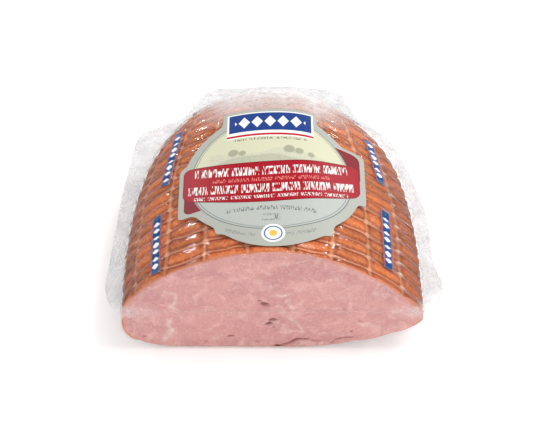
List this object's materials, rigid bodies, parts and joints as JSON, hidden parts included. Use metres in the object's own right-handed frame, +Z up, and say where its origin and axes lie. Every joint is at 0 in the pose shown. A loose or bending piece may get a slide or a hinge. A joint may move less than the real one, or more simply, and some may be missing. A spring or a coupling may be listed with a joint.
{
  "type": "smoked ham",
  "caption": "Half of a boneless smoked ham with a net-marked rind and a pale cut face, lying on its flat side in a clear sealed pack with a printed label.",
  "frame": {"origin": "centre of the bounding box in plan, at the height of the surface the pack rests on", "axes": "+Z up from the flat side it lies on, +Y from the cut face towards the rounded end, +X to the right as seen facing the cut face"},
  "size_m": [0.1678, 0.1602, 0.0764],
  "materials": {
    "cured_meat": "satin",
    "clear_film_upper": "gloss",
    "clear_film_lower": "gloss",
    "printed_label": "satin"
  },
  "bodies": {
    "root": {"ham_half": "cured_meat", "upper_film": "clear_film_upper", "lower_film": "clear_film_lower", "top_label": "printed_label"}
  },
  "joints": []
}
